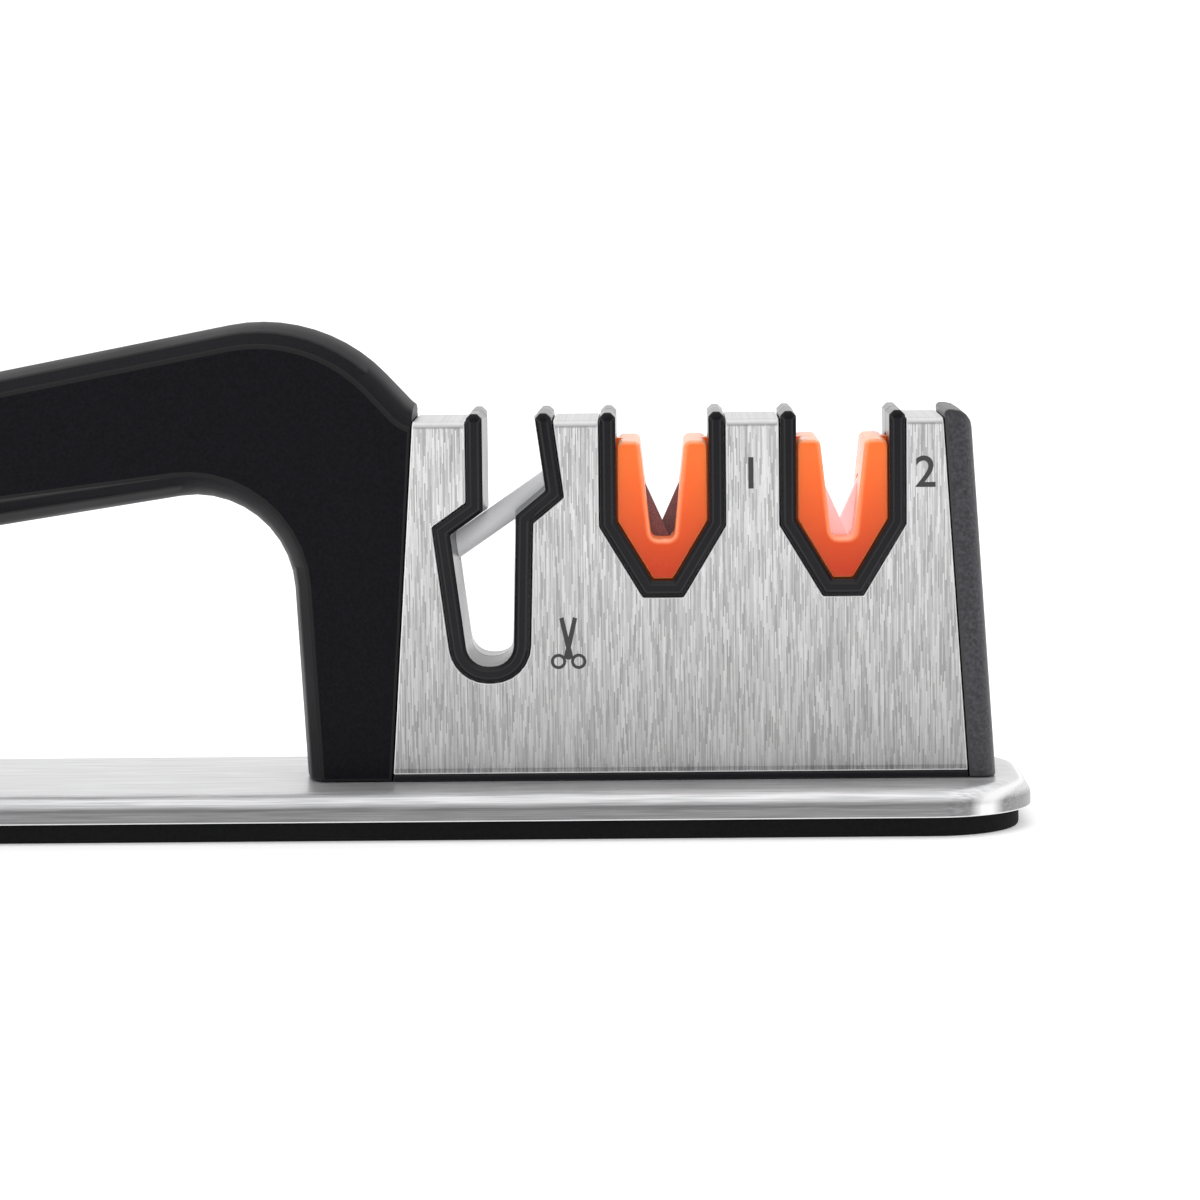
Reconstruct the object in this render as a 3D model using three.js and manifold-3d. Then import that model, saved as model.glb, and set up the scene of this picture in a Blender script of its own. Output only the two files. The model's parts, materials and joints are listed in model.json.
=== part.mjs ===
// Pull-through sharpener for kitchen knives and scissors: a steel-clad head with three slots, a closed
// black handle and a steel base plate on a non-slip pad. Millimetres, +Z up, +X to the head's end,
// -Y to the user's side. The origin is the middle of the pad's underside.

import * as THREE from 'three';
import { mergeVertices } from 'three/addons/utils/BufferGeometryUtils.js';
import Module from 'manifold-3d';

const wasm = await Module();
wasm.setup();

// Clearances
const SEAT = 0.1; // between faces that stand on each other
const FIT = 0.2; // around pieces that slot together
const TURNED_FIT = 0.3; // around pieces that lie at an angle in their seat
const PARTING = 0.06; // from the middle plane to each moulded half

// Base
const BASE_LENGTH = 230;
const BASE_WIDTH = 48;
const BASE_CORNER = 17; // plan radius of the tray
const BASE_STEEL_HEIGHT = 4.7;
const BASE_ROLL_WIDTH = 4.5; // rolled top edge, seen from above
const BASE_ROLL_DROP = 2.4; // rolled top edge, seen from the side
const BASE_SHEET = 0.9;
const PAD_HEIGHT = 3.4;
const PAD_INSET = 2;
const PAD_BEVEL = 0.5;

// Head, measured along the base from its left foot to its right foot
const SCISSOR_FROM_LEFT = 16.45;
const SCISSOR_TO_COARSE = 28.9;
const SLOT_PITCH = 29.8; // coarse slot to fine slot
const FINE_TO_RIGHT = 20.75;
const HEAD_THICKNESS = 22;
const HEAD_LEAN = 3.85; // degrees that both ends lean inwards
const SKIRT_HEIGHT = 1.2; // black strip below the steel cover
const COVER_HEIGHT = 58.8;
const COVER_SHEET = 0.6;
const COVER_BEND = 1.2; // outer radius of the fold
const HOUSING_WALL = 2;
const HOUSING_FLOOR = 2.4;
const BOSS_HEIGHT = 11;
const BOSS_RADIUS = 3.6;

// Rims that stand proud around the slots
const RIM_BAND = 2.65;
const RIM_PROUD = 0.9;
const RIM_RISE = 1.3; // above the steel cover
const RIM_CHAMFER = 0.7;
const RIM_CORNER = 0.4;
const PRONG_CHAMFER = 0.8; // cut off each top corner of the rims
const PRONG_DROP = 1.4; // how far the tops of the rims slope down to the front

// Knife slots, depths measured down from the tops of the rims
const KNIFE_SLOT_WIDTH = 15.3;
const KNIFE_SLOT_SHOULDER = 18.1;
const KNIFE_SLOT_DEPTH = 27.9;
const KNIFE_SLOT_FOOT = 3.5;

// Scissors slot, across from the slot's own line and down from the tops of the rims
const SCISSOR_DEPTH = 42;
const SCISSOR_FOOT_LEFT = 3.5;
const SCISSOR_FOOT_RIGHT = 3.95;
const SCISSOR_FOOT_RADIUS = 3.6;
const SCISSOR_POCKET_LEFT = 6.3;
const SCISSOR_POCKET_DEPTH = 20.1;
const SCISSOR_NECK_LEFT = 0.8;
const SCISSOR_NECK_LEFT_DEPTH = 16.2;
const SCISSOR_NECK_RIGHT = 4.65;
const SCISSOR_NECK_RIGHT_DEPTH = 16.9;
const SCISSOR_MOUTH_RIGHT = 9.6;
const SCISSOR_MOUTH_DEPTH = 12.8;
const SCISSOR_TOP_RIGHT = 7.85;
const SCISSOR_DRAFT = 0.5; // the slot narrows by this on each side towards the middle plane

// Scissors rod
const ROD_DIAMETER = 4;
const ROD_LENGTH = 25.5;
const ROD_RISE = 34.6; // degrees above level, rising to the right
const ROD_RIGHT = 2.9; // its middle from the slot's line
const ROD_DEPTH = 16.8; // its middle below the tops of the rims

// Guides in the knife slots
const GUIDE_TOP = 4.8; // below the tops of the rims
const GUIDE_RECESS = 1; // behind the front of the rims
const GUIDE_EDGE_DEPTH = 1.2; // how far back the front edges are rounded
const GUIDE_SIDE_EDGE = 0.3; // rounding beside the rim, seen from the front
const GUIDE_TOP_EDGE = 0.9;
const NOTCH_EDGE = 1.1;
const GUIDE_CORNER = 1.1;
const NOTCH_TOP = 7.4;
const NOTCH_FOOT = 3.8;
const NOTCH_DEPTH = 16.4; // below the guide's top
const NOTCH_CORNER = 1.2;
const FLANGE_REACH = 0.8; // guide's flange into the slot's wall
const FLANGE_DEPTH = 2;

// Abrasive plates, crossing at the foot of the notch
const PLATE_WIDTH = 2.8;
const PLATE_THICKNESS = 2.5;
const PLATE_ABOVE = 9.4; // length above the crossing
const PLATE_BELOW = 4.2;
const PLATE_TILT = 24; // degrees from upright
const CROSSING_DEPTH = 18.8; // below the tops of the rims

// End cap
const CAP_THICKNESS = 4.6;
const CAP_MARGIN = 5.9; // from the cap's foot to the end of the base
const CAP_PROUD = 0.3;
const CAP_CORNER = 3.4;
const CAP_EDGE = 2.6;
const CAP_TOP_EDGE = 0.6;
const TONGUE_HEIGHT = 34;
const TONGUE_ABOVE_DECK = 13;
const TONGUE_WEB = 2.4;
const TONGUE_HEAD = 6;
const TONGUE_HEAD_LENGTH = 2;

// Handle. Angles are in degrees from level, and heights are above the base's top face
const POST_FOOT = 14.8; // width of the front post where it stands on the base
const POST_FLARE = 3; // lean of its inner face from upright
const UNDERSIDE_HEIGHT = 50.1; // where the underside would meet the front post
const UNDERSIDE_SLOPE = 8.7; // along the middle of the grip
const UNDERSIDE_TWIST = 2.9; // how much flatter it runs along the edge of its crown
const SIDE_TWIST = 1.5; // how much flatter it runs along the flat side
const UNDERSIDE_CORNER = 16.5;
const CREST_LEFT = 11.4; // where the top lines would meet, left of the head's foot
const CREST_HEIGHT = 78.9;
const CREST_RADIUS = 28.5;
const GRIP_SLOPE = 10.8;
const GRIP_DROP = 46.9; // from the crest down to the head
const TIP_RISE = 0.8; // handle's tip above the tops of the rims
const TIP_CORNER = 3;
const REAR_MARGIN = 6.6; // from the rear post to the end of the base
const REAR_FOOT = 15.5;
const REAR_LEAN = 5; // lean of the rear post's outer face
const REAR_CORNER = 19;
const REAR_INNER_LEAN = 3.5;
const REAR_INNER_CORNER = 14;
const HANDLE_WALL = 2.2;
const FOOT_SOLID = 13; // solid height of each post above the base
const SIDE_CHAMFER_DEPTH = 2.8;
const TOP_CHAMFER = 2.3;
const TOP_CROWN = 1.3;
const UNDER_CHAMFER = 2.6;
const POST_CHAMFER = 1.9;
const UNDER_CROWN = 1.1;
const PEG_COUNT = 3;
const PEG_RADIUS = 1.4;
const PEG_LENGTH = 3;
const PEG_BOSS = 3;

// Base screws
const SCREW_HEAD = 5.6;
const SCREW_HEAD_HEIGHT = 1.5;
const SCREW_RIM = 0.3;
const SCREW_SHANK = 2.9;
const SCREW_LENGTH = 13.4;
const SCREW_TIP = 0.8;
const SCREW_SPREAD = 5.6; // from the middle plane

// Smoothness
const SMALL_ARC_STEPS = 2;
const ARC_STEPS = 4;
const WIDE_ARC_STEPS = 6;
const BROAD_ARC_STEPS = 10;
const ROUND_SIDES = 24;
const SCREW_SIDES = 12;
const CROWN_STEPS = 3;
const ROLL_STEPS = 5;
const EDGE_STEPS = 3;
const LEAST_ROUNDING = 0.06;
const REACH = 60; // how far cutting tools run past what they cut
const OVERLAP = 0.5; // how far joined forms run into each other

// Places worked out from the sizes
const DECK = PAD_HEIGHT + BASE_STEEL_HEIGHT;
const HEAD_LENGTH = SCISSOR_FROM_LEFT + SCISSOR_TO_COARSE + SLOT_PITCH + FINE_TO_RIGHT;
const HEAD_RIGHT = BASE_LENGTH / 2 - CAP_MARGIN - CAP_THICKNESS;
const HEAD_LEFT = HEAD_RIGHT - HEAD_LENGTH;
const SCISSOR_X = HEAD_LEFT + SCISSOR_FROM_LEFT;
const COARSE_X = SCISSOR_X + SCISSOR_TO_COARSE;
const FINE_X = COARSE_X + SLOT_PITCH;
const COVER_BOTTOM = DECK + SKIRT_HEIGHT;
const COVER_TOP = COVER_BOTTOM + COVER_HEIGHT;
const RIM_TOP = COVER_TOP + RIM_RISE;
const HALF_HEAD = HEAD_THICKNESS / 2;
const RIM_FRONT = HALF_HEAD + RIM_PROUD;
const HOUSING_FRONT = HALF_HEAD - COVER_SHEET - SEAT;
const HOUSING_TOP = COVER_TOP - COVER_SHEET - SEAT;
const GUIDE_FRONT = RIM_FRONT - GUIDE_RECESS;
const GUIDE_TOP_Z = RIM_TOP - GUIDE_TOP;
const SCREW_FOOT = PAD_HEIGHT + SEAT;

const tangent = (degrees) => Math.tan(THREE.MathUtils.degToRad(degrees));
const leftLine = (z) => HEAD_LEFT + (z - DECK) * tangent(HEAD_LEAN);
const rightLine = (z) => HEAD_RIGHT - (z - DECK) * tangent(HEAD_LEAN);

// Solids from closed meshes, and meshes from solids

function solidOf(geometry) {
  const bare = geometry.clone();
  bare.deleteAttribute('normal');
  bare.deleteAttribute('uv');
  const merged = mergeVertices(bare, 1e-4);
  const triangles = [];
  for (let i = 0; i < merged.index.count; i += 3) {
    const [a, b, c] = merged.index.array.slice(i, i + 3);
    if (a !== b && b !== c && c !== a) triangles.push(a, b, c);
  }
  return new wasm.Manifold(new wasm.Mesh({
    numProp: 3,
    vertProperties: Float32Array.from(merged.attributes.position.array),
    triVerts: Uint32Array.from(triangles),
  }));
}

function geometryOf(solid) {
  const mesh = solid.getMesh();
  const geometry = new THREE.BufferGeometry();
  geometry.setAttribute('position', new THREE.BufferAttribute(mesh.vertProperties, 3));
  geometry.setIndex(new THREE.BufferAttribute(mesh.triVerts, 1));
  geometry.computeVertexNormals();
  return geometry;
}

// The same form on the far side of the middle plane
function mirrored(geometry) {
  const far = geometry.clone().scale(1, -1, 1);
  const index = far.index.array;
  for (let i = 0; i < index.length; i += 3) {
    [index[i], index[i + 1]] = [index[i + 1], index[i]];
  }
  far.computeVertexNormals();
  return far;
}

// Outlines: corners run anticlockwise, and each has a place and a rounding, which in one step is a chamfer

const corner = (x, z, radius = 0, steps = ARC_STEPS, crisp = false) => ({ x, z, radius, steps, crisp });

const crispCorner = (x, z) => corner(x, z, RIM_CORNER, SMALL_ARC_STEPS, true);

// Moves each edge inwards by its inset, or by one inset for all. Roundings stay parallel, unless crisp
function moved(corners, insets) {
  const edges = corners.map((from, i) => {
    const to = corners[(i + 1) % corners.length];
    const along = new THREE.Vector2(to.x - from.x, to.z - from.z).normalize();
    const inset = Array.isArray(insets) ? insets[i] : insets;
    return { x: from.x - along.y * inset, z: from.z + along.x * inset, along, inset };
  });
  return corners.map((from, i) => {
    const before = edges.at(i - 1);
    const after = edges[i];
    const turn = before.along.cross(after.along);
    const gapX = after.x - before.x;
    const gapZ = after.z - before.z;
    const reach = (gapX * after.along.y - gapZ * after.along.x) / turn;
    const shift = from.crisp ? 0 : Math.sign(turn) * (before.inset + after.inset) / 2;
    return {
      ...from,
      x: before.x + before.along.x * reach,
      z: before.z + before.along.y * reach,
      radius: from.radius && Math.max(from.radius - shift, LEAST_ROUNDING),
    };
  });
}

// Points of an outline, with an arc at each rounded corner
function pointsOf(corners) {
  return corners.flatMap((at, i) => {
    const place = new THREE.Vector2(at.x, at.z);
    if (!at.radius) return [place];
    const before = corners.at(i - 1);
    const after = corners[(i + 1) % corners.length];
    const back = new THREE.Vector2(before.x, before.z).sub(place).normalize();
    const ahead = new THREE.Vector2(after.x, after.z).sub(place).normalize();
    const half = Math.acos(THREE.MathUtils.clamp(back.dot(ahead), -1, 1)) / 2;
    const middle = back.clone().add(ahead).normalize();
    const centre = place.clone().addScaledVector(middle, at.radius / Math.sin(half));
    const spread = Math.PI / 2 - half;
    const facing = Math.atan2(-middle.y, -middle.x);
    const sense = Math.sign(ahead.cross(back));
    return Array.from({ length: at.steps + 1 }, (_, step) => {
      const angle = facing + sense * spread * (2 * step / at.steps - 1);
      return new THREE.Vector2(Math.cos(angle), Math.sin(angle)).multiplyScalar(at.radius).add(centre);
    });
  });
}

// Closed skin through outlines of equal point count, from the lowest Y to the highest
function loft(layers) {
  const rings = layers.map(({ y, corners }) => ({ y, points: pointsOf(corners) }));
  const count = rings[0].points.length;
  const positions = rings.flatMap(({ y, points }) => points.flatMap((point) => [point.x, y, point.y]));
  const index = [];
  const last = (rings.length - 1) * count;
  for (let ring = 0; ring < last; ring += count) {
    for (let i = 0; i < count; i += 1) {
      const a = ring + i;
      const b = ring + (i + 1) % count;
      index.push(a, a + count, b, b, a + count, b + count);
    }
  }
  for (const [a, b, c] of THREE.ShapeUtils.triangulateShape(rings[0].points, [])) {
    index.push(a, b, c);
  }
  for (const [a, b, c] of THREE.ShapeUtils.triangulateShape(rings.at(-1).points, [])) {
    index.push(last + c, last + b, last + a);
  }
  const geometry = new THREE.BufferGeometry();
  geometry.setAttribute('position', new THREE.Float32BufferAttribute(positions, 3));
  geometry.setIndex(index);
  return geometry;
}

const prism = (corners, from, to) => loft([{ y: from, corners }, { y: to, corners }]);

// A loft that rises along Z, for outlines drawn in plan and symmetrical about the middle plane
const stack = (layers) => loft(layers.map(({ z, corners }) => ({ y: z, corners }))).rotateX(Math.PI / 2);

// A prism along X whose outline is drawn across the part
const rail = (corners, from, to) => prism(corners, -to, -from).rotateZ(Math.PI / 2);

const rectangle = (left, right, bottom, top, radius) => [
  corner(left, bottom, radius, WIDE_ARC_STEPS),
  corner(right, bottom, radius, WIDE_ARC_STEPS),
  corner(right, top, radius, WIDE_ARC_STEPS),
  corner(left, top, radius, WIDE_ARC_STEPS),
];

// Where two lines meet, each given by a point and its angle from level in degrees
function meeting(first, firstAngle, second, secondAngle) {
  const rise = tangent(firstAngle);
  const fall = tangent(secondAngle);
  const x = (second.z - first.z + rise * first.x - fall * second.x) / (rise - fall);
  return { x, z: first.z + rise * (x - first.x) };
}

// Base

const basePlan = (inset) => moved(
  rectangle(-BASE_LENGTH / 2, BASE_LENGTH / 2, -BASE_WIDTH / 2, BASE_WIDTH / 2, BASE_CORNER),
  inset,
);

// Tray form with its rolled edge, taken in all round by a distance
function trayForm(distance, bottom) {
  const width = BASE_ROLL_WIDTH - distance;
  const drop = BASE_ROLL_DROP - distance;
  const layers = [{ z: bottom, corners: basePlan(distance) }];
  for (let step = 0; step <= ROLL_STEPS; step += 1) {
    const angle = step / ROLL_STEPS * Math.PI / 2;
    const z = DECK - BASE_ROLL_DROP + drop * Math.sin(angle);
    layers.push({ z, corners: basePlan(distance + width * (1 - Math.cos(angle))) });
  }
  return solidOf(stack(layers));
}

function screwForm(clearance) {
  const head = SCREW_HEAD / 2 + clearance;
  const shank = SCREW_SHANK / 2 + clearance;
  const profile = [
    [0, -clearance],
    [head, -clearance],
    [head, SCREW_RIM],
    [shank, SCREW_HEAD_HEIGHT],
    [shank, SCREW_LENGTH - SCREW_TIP + clearance],
    [shank - SCREW_TIP, SCREW_LENGTH + clearance],
    [0, SCREW_LENGTH + clearance],
  ].map(([x, y]) => new THREE.Vector2(x, y));
  return new THREE.LatheGeometry(profile, SCREW_SIDES).rotateX(Math.PI / 2);
}

const frontPostX = HEAD_LEFT - POST_FOOT / 2;
const rearPostX = -BASE_LENGTH / 2 + REAR_MARGIN + REAR_FOOT / 2;
const headBossX = [(SCISSOR_X + COARSE_X) / 2, (COARSE_X + FINE_X) / 2];
const screwPlaces = [rearPostX, frontPostX, ...headBossX].flatMap((x) => [
  { x, y: -SCREW_SPREAD },
  { x, y: SCREW_SPREAD },
]);

// Takes the seat of every base screw out of a solid
function withScrewHoles(solid) {
  return screwPlaces.reduce(
    (rest, { x, y }) => rest.subtract(solidOf(screwForm(FIT).translate(x, y, SCREW_FOOT))),
    solid,
  );
}

function rubberPad() {
  const plan = (inset) => basePlan(PAD_INSET + inset);
  return solidOf(stack([
    { z: 0, corners: plan(PAD_BEVEL) },
    { z: PAD_BEVEL, corners: plan(0) },
    { z: PAD_HEIGHT, corners: plan(0) },
  ]));
}

const basePlate = () => withScrewHoles(
  trayForm(0, PAD_HEIGHT).subtract(trayForm(BASE_SHEET, PAD_HEIGHT - OVERLAP)),
);

const baseCore = () => withScrewHoles(trayForm(BASE_SHEET + FIT, PAD_HEIGHT + SEAT));

// Slots, as the outline of the opening from its top left corner down and round to its top right corner

const prongCorner = (x) => corner(x, RIM_TOP, PRONG_CHAMFER, 1);

const knifeSlot = (x) => [
  prongCorner(x - KNIFE_SLOT_WIDTH / 2),
  crispCorner(x - KNIFE_SLOT_WIDTH / 2, RIM_TOP - KNIFE_SLOT_SHOULDER),
  crispCorner(x - KNIFE_SLOT_FOOT / 2, RIM_TOP - KNIFE_SLOT_DEPTH),
  crispCorner(x + KNIFE_SLOT_FOOT / 2, RIM_TOP - KNIFE_SLOT_DEPTH),
  crispCorner(x + KNIFE_SLOT_WIDTH / 2, RIM_TOP - KNIFE_SLOT_SHOULDER),
  prongCorner(x + KNIFE_SLOT_WIDTH / 2),
];

const scissorSlot = () => [
  prongCorner(SCISSOR_X - SCISSOR_NECK_LEFT),
  crispCorner(SCISSOR_X - SCISSOR_NECK_LEFT, RIM_TOP - SCISSOR_NECK_LEFT_DEPTH),
  crispCorner(SCISSOR_X - SCISSOR_POCKET_LEFT, RIM_TOP - SCISSOR_POCKET_DEPTH),
  corner(SCISSOR_X - SCISSOR_FOOT_LEFT, RIM_TOP - SCISSOR_DEPTH, SCISSOR_FOOT_RADIUS, WIDE_ARC_STEPS),
  corner(SCISSOR_X + SCISSOR_FOOT_RIGHT, RIM_TOP - SCISSOR_DEPTH, SCISSOR_FOOT_RADIUS, WIDE_ARC_STEPS),
  crispCorner(SCISSOR_X + SCISSOR_NECK_RIGHT, RIM_TOP - SCISSOR_NECK_RIGHT_DEPTH),
  crispCorner(SCISSOR_X + SCISSOR_MOUTH_RIGHT, RIM_TOP - SCISSOR_MOUTH_DEPTH),
  prongCorner(SCISSOR_X + SCISSOR_TOP_RIGHT),
];

const slots = [
  { opening: scissorSlot(), draft: SCISSOR_DRAFT },
  { opening: knifeSlot(COARSE_X), draft: 0 },
  { opening: knifeSlot(FINE_X), draft: 0 },
];

// The opening grown on all sides but its top, which stays level
function grown(opening, distance) {
  const insets = opening.map((_, i) => (i === opening.length - 1 ? 0 : -distance));
  return moved(opening, insets).map((at, i) => {
    const isTop = i === 0 || i === opening.length - 1;
    return isTop ? { ...at, radius: opening[i].radius } : at;
  });
}

// A grown opening with square tops carried up past the head, for cutting
function slotCutter(opening, distance) {
  const outline = grown(opening, distance);
  const ends = [outline.at(-1), outline[0]];
  const [right, left] = ends.map(({ x }) => corner(x, RIM_TOP));
  const top = ends.map(({ x }) => corner(x, RIM_TOP + REACH));
  return solidOf(prism([...outline.slice(1, -1), right, ...top, left], -REACH, REACH));
}

// Rim of one slot: a U-shaped wall from the proud, chamfered front to the middle plane
function slotRim({ opening, draft }) {
  const band = [...grown(opening, RIM_BAND), ...[...opening].reverse()];
  const innerEdge = (i) => i >= opening.length && i < band.length - 1;
  const topEdge = (i) => i === opening.length - 1 || i === band.length - 1;
  const drafted = band.map((_, i) => (innerEdge(i) ? -draft : 0));
  const chamfered = band.map((_, i) => (topEdge(i) ? PRONG_DROP : RIM_CHAMFER));
  return solidOf(loft([
    { y: -RIM_FRONT, corners: moved(band, chamfered) },
    { y: -RIM_FRONT + RIM_CHAMFER, corners: band },
    { y: -PARTING, corners: moved(band, drafted) },
  ]));
}

// Head

// Side outline between the two leaning ends
const headOutline = (bottom, top, endInset) => [
  corner(leftLine(bottom) + endInset, bottom),
  corner(rightLine(bottom) - endInset, bottom),
  corner(rightLine(top) - endInset, top),
  corner(leftLine(top) + endInset, top),
];

const rodMiddle = { x: SCISSOR_X + ROD_RIGHT, z: RIM_TOP - ROD_DEPTH };

const rodForm = (clearance) => new THREE.CylinderGeometry(
  ROD_DIAMETER / 2 + clearance,
  ROD_DIAMETER / 2 + clearance,
  ROD_LENGTH + 2 * clearance,
  ROUND_SIDES,
).rotateZ(-Math.PI / 2).rotateY(-THREE.MathUtils.degToRad(ROD_RISE));

const scissorRod = () => solidOf(rodForm(0).translate(rodMiddle.x, 0, rodMiddle.z));

// Seat at the middle plane for the flanges of a guide
function flangeSeat(opening) {
  const outline = grown(opening, FLANGE_REACH + FIT).map((at, i) => (
    i === 0 || i === opening.length - 1 ? corner(at.x, GUIDE_TOP_Z + FIT) : at
  ));
  return solidOf(prism(outline, -FLANGE_DEPTH - FIT, OVERLAP));
}

// Outline parallel to the head's right end, between two distances inside it
function besideRightEnd(inner, outer, bottom, top) {
  return [
    corner(rightLine(bottom) - inner, bottom),
    corner(rightLine(bottom) - outer, bottom),
    corner(rightLine(top) - outer, top),
    corner(rightLine(top) - inner, top),
  ];
}

const tongueBottom = DECK + TONGUE_ABOVE_DECK;
const tongueTop = tongueBottom + TONGUE_HEIGHT;

// Near half of the head: solid around the rod that it holds, and hollow from there to the right end
function headShell() {
  const end = FIT / 2;
  const level = (y, top) => ({ y, corners: headOutline(DECK + SEAT, top, end) });
  const block = solidOf(loft([
    level(-HOUSING_FRONT, HOUSING_TOP - COVER_BEND),
    level(COVER_BEND - HOUSING_FRONT, HOUSING_TOP),
    level(-PARTING, HOUSING_TOP),
  ]));
  const hollowLeft = rodMiddle.x + ROD_LENGTH / 2 + HOUSING_WALL;
  const inside = headOutline(DECK + HOUSING_FLOOR, HOUSING_TOP - HOUSING_WALL, end + HOUSING_WALL);
  const [, lowRight, highRight] = inside;
  const hollow = solidOf(prism(
    [corner(hollowLeft, lowRight.z), lowRight, highRight, corner(hollowLeft, highRight.z)],
    HOUSING_WALL - HOUSING_FRONT,
    OVERLAP,
  ));
  const skirt = solidOf(prism(
    headOutline(DECK + SEAT, COVER_BOTTOM, end),
    -HALF_HEAD,
    OVERLAP - HOUSING_FRONT,
  ));
  let shell = block.subtract(hollow).add(skirt);
  for (const x of headBossX) {
    const boss = new THREE.CylinderGeometry(BOSS_RADIUS, BOSS_RADIUS, BOSS_HEIGHT, ROUND_SIDES / 2);
    boss.rotateX(Math.PI / 2).translate(x, -SCREW_SPREAD, DECK + SEAT + BOSS_HEIGHT / 2);
    shell = shell.add(solidOf(boss));
  }
  for (const slot of slots) {
    shell = shell.subtract(slotCutter(slot.opening, RIM_BAND - OVERLAP)).add(slotRim(slot));
  }
  for (const { opening } of slots.slice(1)) {
    shell = shell.subtract(flangeSeat(opening));
  }
  const tongueSlot = prism(
    besideRightEnd(HOUSING_WALL + OVERLAP, -OVERLAP, tongueBottom - FIT, tongueTop + FIT),
    -TONGUE_WEB / 2 - FIT,
    OVERLAP,
  );
  const rodSeat = rodForm(TURNED_FIT).translate(rodMiddle.x, 0, rodMiddle.z);
  return withScrewHoles(shell.subtract(solidOf(tongueSlot)).subtract(solidOf(rodSeat)));
}

// One sheet folded over the head, cut out around the rims
function headCover() {
  const section = [
    corner(-HALF_HEAD, COVER_BOTTOM),
    corner(COVER_SHEET - HALF_HEAD, COVER_BOTTOM),
    corner(COVER_SHEET - HALF_HEAD, COVER_TOP - COVER_SHEET, COVER_BEND - COVER_SHEET),
    corner(HALF_HEAD - COVER_SHEET, COVER_TOP - COVER_SHEET, COVER_BEND - COVER_SHEET),
    corner(HALF_HEAD - COVER_SHEET, COVER_BOTTOM),
    corner(HALF_HEAD, COVER_BOTTOM),
    corner(HALF_HEAD, COVER_TOP, COVER_BEND),
    corner(-HALF_HEAD, COVER_TOP, COVER_BEND),
  ];
  const folded = solidOf(rail(section, HEAD_LEFT - REACH, HEAD_RIGHT + REACH));
  const ends = solidOf(prism(headOutline(COVER_BOTTOM + SEAT, COVER_TOP + REACH, FIT / 2), -REACH, REACH));
  return slots.reduce(
    (sheet, { opening }) => sheet.subtract(slotCutter(opening, RIM_BAND + FIT)),
    folded.intersect(ends),
  );
}

// Leaning cap with a rounded top corner and upright edges, held by a T-shaped tongue
function endCap() {
  const half = HALF_HEAD + CAP_PROUD;
  const inner = FIT / 2;
  const topCorner = Math.min(CAP_CORNER, CAP_THICKNESS - inner - 2 * CAP_TOP_EDGE);
  const side = [
    corner(rightLine(DECK + SEAT) + inner, DECK + SEAT),
    corner(rightLine(DECK + SEAT) + CAP_THICKNESS, DECK + SEAT),
    corner(rightLine(RIM_TOP) + CAP_THICKNESS, RIM_TOP, topCorner),
    corner(rightLine(RIM_TOP) + inner, RIM_TOP, CAP_TOP_EDGE, SMALL_ARC_STEPS),
  ];
  const plan = (z) => [
    corner(rightLine(z) - REACH, -half),
    corner(rightLine(z) + CAP_THICKNESS, -half, CAP_EDGE),
    corner(rightLine(z) + CAP_THICKNESS, half, CAP_EDGE),
    corner(rightLine(z) - REACH, half),
  ];
  const upright = stack([DECK, RIM_TOP + OVERLAP].map((z) => ({ z, corners: plan(z) })));
  const behindWall = HOUSING_WALL + FIT;
  const web = prism(
    besideRightEnd(behindWall + TONGUE_HEAD_LENGTH, -inner - OVERLAP, tongueBottom, tongueTop),
    -TONGUE_WEB / 2,
    TONGUE_WEB / 2,
  );
  const head = prism(
    besideRightEnd(behindWall + TONGUE_HEAD_LENGTH, behindWall, tongueBottom, tongueTop),
    -TONGUE_HEAD / 2,
    TONGUE_HEAD / 2,
  );
  return solidOf(prism(side, -REACH, REACH))
    .intersect(solidOf(upright))
    .add(solidOf(web))
    .add(solidOf(head));
}

// Guides and plates

// Guide outline: the slot's opening up to the guide's top, with the knife's notch let in
function guideOutline(x, distance) {
  const opening = grown(knifeSlot(x), distance);
  const left = opening[0].x;
  const right = opening.at(-1).x;
  return [
    corner(left, GUIDE_TOP_Z, GUIDE_CORNER),
    ...opening.slice(1, -1),
    corner(right, GUIDE_TOP_Z, GUIDE_CORNER),
    corner(x + NOTCH_TOP / 2, GUIDE_TOP_Z, GUIDE_CORNER),
    corner(x + NOTCH_FOOT / 2, GUIDE_TOP_Z - NOTCH_DEPTH, NOTCH_CORNER),
    corner(x - NOTCH_FOOT / 2, GUIDE_TOP_Z - NOTCH_DEPTH, NOTCH_CORNER),
    corner(x - NOTCH_TOP / 2, GUIDE_TOP_Z, GUIDE_CORNER),
  ];
}

// Place and size of a plate: side -1 leans to the left and lies in the near half
function placePlate(object, x, side) {
  const tilt = THREE.MathUtils.degToRad(PLATE_TILT);
  const along = (PLATE_ABOVE - PLATE_BELOW) / 2;
  const out = PLATE_WIDTH / 2;
  object.position.set(
    x + side * (along * Math.sin(tilt) + out * Math.cos(tilt)),
    side * (PARTING + PLATE_THICKNESS / 2),
    RIM_TOP - CROSSING_DEPTH + along * Math.cos(tilt) - out * Math.sin(tilt),
  );
  object.rotation.y = side * tilt;
  object.updateMatrix();
  return object;
}

const plateForm = (clearance) => new THREE.BoxGeometry(
  PLATE_WIDTH + 2 * clearance,
  PLATE_THICKNESS + 2 * clearance,
  PLATE_ABOVE + PLATE_BELOW + 2 * clearance,
);

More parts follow.
